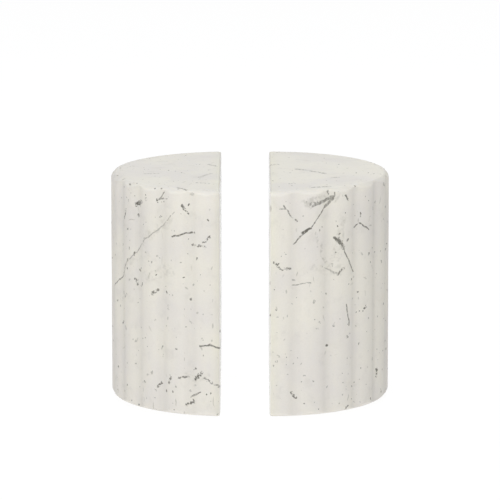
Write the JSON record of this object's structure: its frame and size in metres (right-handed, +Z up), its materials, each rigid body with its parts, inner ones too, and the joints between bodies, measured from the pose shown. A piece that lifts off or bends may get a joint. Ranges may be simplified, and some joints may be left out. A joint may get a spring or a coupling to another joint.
{
  "type": "book ends",
  "caption": "Pair of fluted half-drum marble book ends with flat sawn book faces and rubber pads under each half.",
  "frame": {"origin": "on the shelf, at the middle of the pair's bounding box, with the two halves a short row of books apart", "axes": "+X from the left book end to the right one, +Y to the back, +Z up"},
  "size_m": [0.1494, 0.1266, 0.1227],
  "materials": {
    "marble": "honed white marble with grey-green specks and fine veins",
    "pad_rubber": "matte",
    "adhesive_film": "satin acrylic film"
  },
  "bodies": {
    "left_bookend": {"left_stone": "marble", "left_pad_front_inner": "pad_rubber", "left_pad_back_inner": "pad_rubber", "left_pad_front_outer": "pad_rubber", "left_pad_back_outer": "pad_rubber", "left_film_front_inner": "adhesive_film", "left_film_back_inner": "adhesive_film", "left_film_front_outer": "adhesive_film", "left_film_back_outer": "adhesive_film"},
    "right_bookend": {"right_stone": "marble", "right_pad_front_inner": "pad_rubber", "right_pad_back_inner": "pad_rubber", "right_pad_front_outer": "pad_rubber", "right_pad_back_outer": "pad_rubber", "right_film_front_inner": "adhesive_film", "right_film_back_inner": "adhesive_film", "right_film_front_outer": "adhesive_film", "right_film_back_outer": "adhesive_film"}
  },
  "joints": [
    {"name": "book_row_slide", "type": "slide", "parent": "left_bookend", "child": "right_bookend", "axis": [1, 0, 0], "range_m": [-0.0253, 0.3]}
  ]
}
